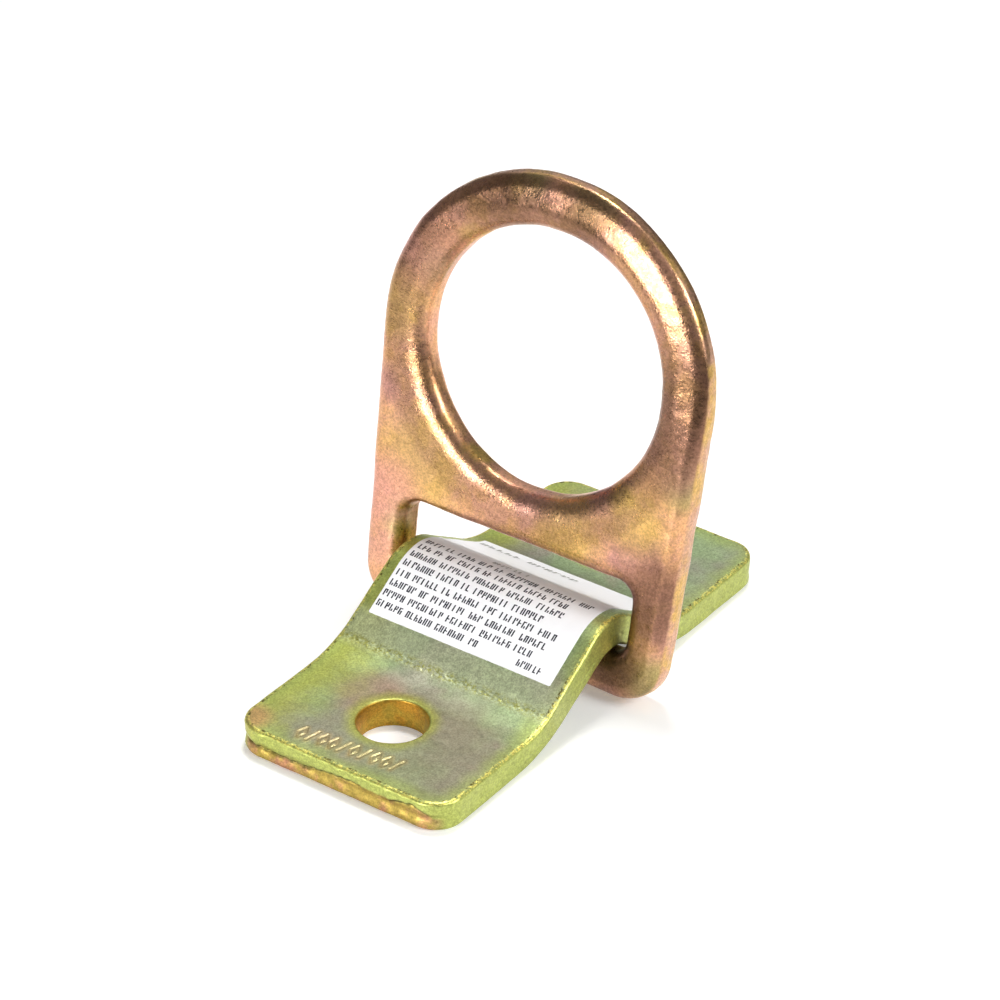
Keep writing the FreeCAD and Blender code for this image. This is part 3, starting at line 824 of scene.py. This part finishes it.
def ring_plating():
    shader = Shader("ring_plating")
    where = shader.attribute("slab").outputs["Vector"]
    edge = shader.attribute("edge").outputs["Fac"]
    eye = shader.attribute("eye").outputs["Fac"]
    broad = shader.noise(where, 15.0, 2.0, 0.5, 21.0)
    cloudy = shader.noise(where, 6.0, 4.0, 0.6, 22.0)
    wobble = shader.math("SUBTRACT", cloudy, 0.5)

    tone = shader.mix(shader.mask(cloudy, 0.38, 0.62), colour(230, 174, 124), colour(220, 164, 134))
    tone = shader.mix(shader.mask(broad, 0.52, 0.66, 0.0, 0.8), tone, colour(200, 146, 136))
    golden = shader.mask(shader.noise(where, 9.0, 3.0, 0.5, 23.0), 0.60, 0.74, 0.0, 0.7)
    tone = shader.mix(golden, tone, colour(206, 178, 84))
    tone = patches(shader, tone, where, wobble, YELLOW_PATCHES, 0.8, 0.55, colour(208, 176, 88))
    tone = patches(shader, tone, where, wobble, GREEN_PATCHES, 0.8, 0.65, colour(156, 168, 96))
    tone = patches(shader, tone, where, wobble, PINK_PATCHES, 0.8, 0.7, colour(220, 156, 140))
    tone = patches(shader, tone, where, wobble, DARK_PATCHES, 0.9, 0.85, colour(120, 88, 68))

    ragged = shader.math("ADD", eye, wobble)
    crown = shader.mask(ragged, CROWN_REACH, CROWN_REACH + CROWN_FADE, CROWN_SHARE, 0.0)
    crown = shader.math("MULTIPLY", crown, shader.mask(eye, 0.4, 1.6))
    # painted shade, in part: the crown's brown stands for the blasted finish and also for the darker
    # reflections round the eye
    crown_brown_and_shade = shader.mix(shader.mask(cloudy, 0.4, 0.6), colour(134, 102, 68), colour(146, 108, 88))
    tone = shader.mix(crown, tone, crown_brown_and_shade)
    side_tone = shader.mix(shader.mask(cloudy, 0.4, 0.6), colour(204, 158, 128), colour(208, 168, 100))
    tone = shader.mix(shader.mask(edge, 0.35, 0.0), tone, side_tone)
    tone = speckled(shader, where, tone, 0.4, 0.22, 25.0)
    tone = speckled(shader, where, tone, 1.2, 0.07, 26.0)

    rough = shader.mask(shader.noise(where, 0.9, 3.0, 0.6, 27.0), 0.3, 0.7, 0.26, 0.36)
    rough = shader.math("SUBTRACT", rough, shader.math("MULTIPLY", crown, 0.08))
    uneven = shader.noise(where, 1.2, 2.0, 0.5, 28.0)
    blasted = shader.math("MULTIPLY", shader.noise(where, 0.42, 2.0, 0.6, 29.0), crown)
    grain = shader.noise(where, 0.3, 2.0, 0.65, 24.0)
    bumps = [(uneven, 0.05), (blasted, 0.13), (grain, 0.035)]
    return shader.finish({"Base Color": tone, "Metallic": 1.0, "Roughness": rough}, bumps)


def plain(name, tone, rough, size, amount=0.03, bump=0.004):
    shader = Shader(name)
    where = shader.node("TexCoord").outputs["Object"]
    grain = shader.noise(where, size * MM, 3.0, 0.5, 30.0)
    low, high = (tuple(min(1.0, c * k) for c in tone[:3]) + (1.0,) for k in (1 - amount, 1 + amount))
    base = shader.mix(shader.mask(grain, 0.35, 0.65), low, high)
    roughness = shader.mask(grain, 0.3, 0.7, rough - 0.06, rough + 0.06)
    return shader.finish({"Base Color": base, "Roughness": roughness}, [(grain, bump)])


# ---------------------------------------------------------------- studio
AZIMUTH, ELEVATION, ROLL = map(math.radians, (35.0, 32.21, 0.66))
DISTANCE = 770.1
LENS, SENSOR = 140.6, 36.0
AIM = np.array([-1.8, 0.0, 37.07])
# name, azimuth, elevation, distance, size, power, spread
LIGHTS = [
    ("key", -9, 12, 900, 320, 0.72, 70),
    ("right_box", 95, 35, 900, 400, 1.2, 90),
    ("side_box", 138, 30, 900, 320, 0.22, 180),
    ("rear_box", 215, 32, 900, 700, 0.55, 180),
    ("pool", 205, 74, 1400, 300, 1.9, 80),
]


def direction(azimuth, elevation):
    return np.array([
        math.sin(azimuth) * math.cos(elevation),
        -math.cos(azimuth) * math.cos(elevation),
        math.sin(elevation),
    ])


def make_camera():
    back = direction(AZIMUTH, ELEVATION)
    level = np.array([math.cos(AZIMUTH), math.sin(AZIMUTH), 0.0])
    upright = np.cross(back, level)
    right = math.cos(ROLL) * level + math.sin(ROLL) * upright
    top = math.cos(ROLL) * upright - math.sin(ROLL) * level
    data = bpy.data.cameras.new("camera")
    data.lens, data.sensor_width = LENS, SENSOR
    data.clip_start, data.clip_end = 0.05, 20.0
    camera = bpy.data.objects.new("camera", data)
    place = (AIM + back * DISTANCE) * MM
    camera.matrix_world = Matrix([
        (right[i], top[i], back[i], place[i]) for i in range(3)] + [(0, 0, 0, 1)])
    bpy.context.scene.collection.objects.link(camera)
    bpy.context.scene.camera = camera


def make_light(name, azimuth, elevation, distance, size, power, spread):
    """A soft round light that faces the object; distance and size in millimetres."""
    data = bpy.data.lights.new(name, "AREA")
    data.shape = "DISK"
    data.size = size * MM
    data.energy = power
    data.spread = math.radians(spread)
    light = bpy.data.objects.new(name, data)
    away = direction(math.radians(azimuth), math.radians(elevation))
    light.location = (AIM + away * distance) * MM
    light.rotation_mode = "QUATERNION"
    light.rotation_quaternion = Vector(away).to_track_quat("Z", "Y")
    bpy.context.scene.collection.objects.link(light)


def make_world():
    """A pale room: bright overhead, greyer towards and below the horizon."""
    world = bpy.data.worlds.new("room")
    world.use_nodes = True
    tree = world.node_tree
    tree.nodes.clear()
    coordinates = tree.nodes.new("ShaderNodeTexCoord")
    parts = tree.nodes.new("ShaderNodeSeparateXYZ")
    shade = tree.nodes.new("ShaderNodeMapRange")
    background = tree.nodes.new("ShaderNodeBackground")
    output = tree.nodes.new("ShaderNodeOutputWorld")
    tree.links.new(coordinates.outputs["Generated"], parts.inputs[0])
    tree.links.new(parts.outputs["Z"], shade.inputs["Value"])
    for key, value in {"From Min": 0.0, "From Max": 0.55, "To Min": 0.12, "To Max": 0.35}.items():
        shade.inputs[key].default_value = value
    tree.links.new(shade.outputs["Result"], background.inputs["Strength"])
    tree.links.new(background.outputs["Background"], output.inputs["Surface"])
    bpy.context.scene.world = world


# the floor's colour paints a pool of light: lit and white round the object and behind it, with a painted
# glow there, and greyer far in front
WHITE_CENTRE = (-0.05, 0.40, 0.0)
WHITE_REACH, GREY_FROM = 0.58, 0.70
FLOOR_GLOW = 0.25


def floor_paper_with_painted_light():
    """Pale paper with painted light: it turns grey outside the picture, which the ring's arc then reflects,
    and glows inside it.
    """
    shader = Shader("floor_paper_with_painted_light")
    where = shader.node("TexCoord").outputs["Object"]
    away = shader.node("VectorMath", {0: where, 1: WHITE_CENTRE}, operation="DISTANCE").outputs["Value"]
    grain = shader.noise(where, 40.0 * MM, 3.0, 0.5, 30.0)
    paper = shader.mix(shader.mask(grain, 0.35, 0.65), (0.89, 0.89, 0.89, 1.0), (0.91, 0.91, 0.91, 1.0))
    # painted light: the paper is made grey far from the pool of light, and glows softly inside it
    base = shader.mix(shader.mask(away, WHITE_REACH, GREY_FROM), paper, (0.32, 0.32, 0.32, 1.0))
    painted_glow = shader.mask(away, WHITE_REACH, GREY_FROM, FLOOR_GLOW, 0.0)
    return shader.finish({"Base Color": base, "Roughness": 0.9, "Emission Color": paper,
                          "Emission Strength": painted_glow}, [(grain, 0.01)])


def make_floor():
    bpy.ops.mesh.primitive_plane_add(size=6.0)
    floor = bpy.context.object
    floor.name = "floor"
    floor.data.materials.append(floor_paper_with_painted_light())


make_plate(plate_plating())
make_ring(ring_plating())
make_label(plain("label_vinyl", colour(240, 240, 242), 0.42, 3.0, 0.012, 0.006))
make_printing(
    plain("print_black", colour(40, 40, 52), 0.5, 1.0),
    plain("print_grey", colour(150, 148, 145), 0.5, 1.0))
make_camera()
make_world()
make_floor()
for light in LIGHTS:
    make_light(*light)
bpy.context.scene.view_settings.view_transform = "Standard"
